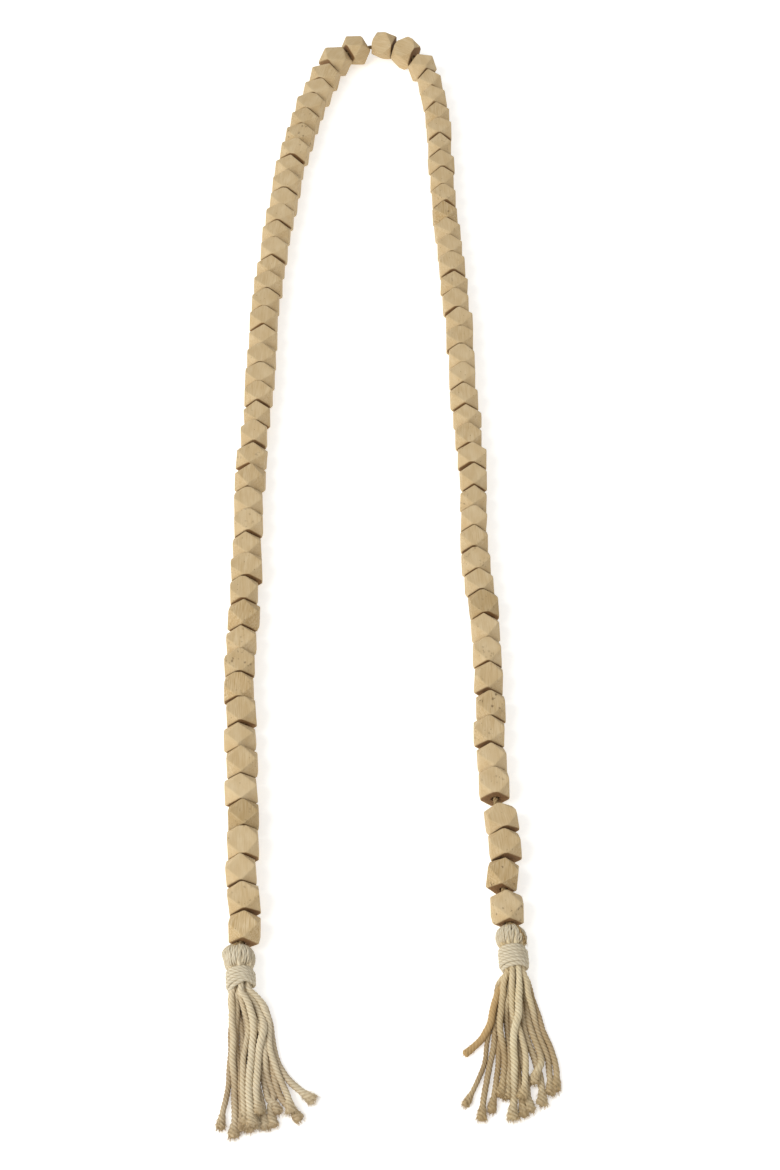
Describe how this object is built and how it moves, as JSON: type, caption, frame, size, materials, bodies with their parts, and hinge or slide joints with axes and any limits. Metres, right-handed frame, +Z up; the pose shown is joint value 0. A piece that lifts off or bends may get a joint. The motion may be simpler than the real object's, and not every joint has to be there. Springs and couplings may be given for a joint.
{
  "type": "wood bead garland",
  "caption": "Garland of hand-cut faceted wood beads on one cotton string, laid in a long narrow arch, with a bound cotton tassel at each end.",
  "frame": {"origin": "middle of the lying garland's outline, on the surface that it lies on", "axes": "+Z up from the surface, +Y along the legs from the tassels to the arc, +X to the right as seen from above with the tassels near"},
  "size_m": [0.1646, 0.7432, 0.0213],
  "materials": {
    "natural_wood": "matte, cut by hand, no varnish",
    "natural_cotton": "matte, undyed twisted cotton"
  },
  "bodies": {
    "root": {"beads_01_02": "natural_wood", "beads_03_04": "natural_wood", "beads_05_06": "natural_wood", "beads_07_08": "natural_wood", "beads_09_10": "natural_wood", "beads_11_12": "natural_wood", "beads_13_14": "natural_wood", "beads_15_16": "natural_wood", "beads_17_18": "natural_wood", "beads_19_20": "natural_wood", "beads_21_22": "natural_wood", "beads_23_24": "natural_wood", "beads_25_26": "natural_wood", "beads_27_28": "natural_wood", "beads_29_30": "natural_wood", "beads_31_32": "natural_wood", "beads_33_34": "natural_wood", "beads_35_36": "natural_wood", "beads_37_38": "natural_wood", "beads_39_40": "natural_wood", "beads_41_42": "natural_wood", "bead_43": "natural_wood", "bead_44": "natural_wood", "bead_45": "natural_wood", "bead_46": "natural_wood", "bead_47": "natural_wood", "beads_48_49": "natural_wood", "beads_50_51": "natural_wood", "beads_52_53": "natural_wood", "beads_54_55": "natural_wood", "beads_56_57": "natural_wood", "beads_58_59": "natural_wood", "beads_60_61": "natural_wood", "beads_62_63": "natural_wood", "beads_64_65": "natural_wood", "beads_66_67": "natural_wood", "beads_68_69": "natural_wood", "beads_70_71": "natural_wood", "beads_72_73": "natural_wood", "beads_74_75": "natural_wood", "beads_76_77": "natural_wood", "beads_78_79": "natural_wood", "beads_80_81": "natural_wood", "beads_82_83": "natural_wood", "beads_84_85": "natural_wood", "bead_86": "natural_wood", "bead_87": "natural_wood", "stringing_cord": "natural_cotton", "tassel_left_strands": "natural_cotton", "tassel_left_binding": "natural_cotton", "tassel_right_strands": "natural_cotton", "tassel_right_binding": "natural_cotton"}
  },
  "joints": []
}
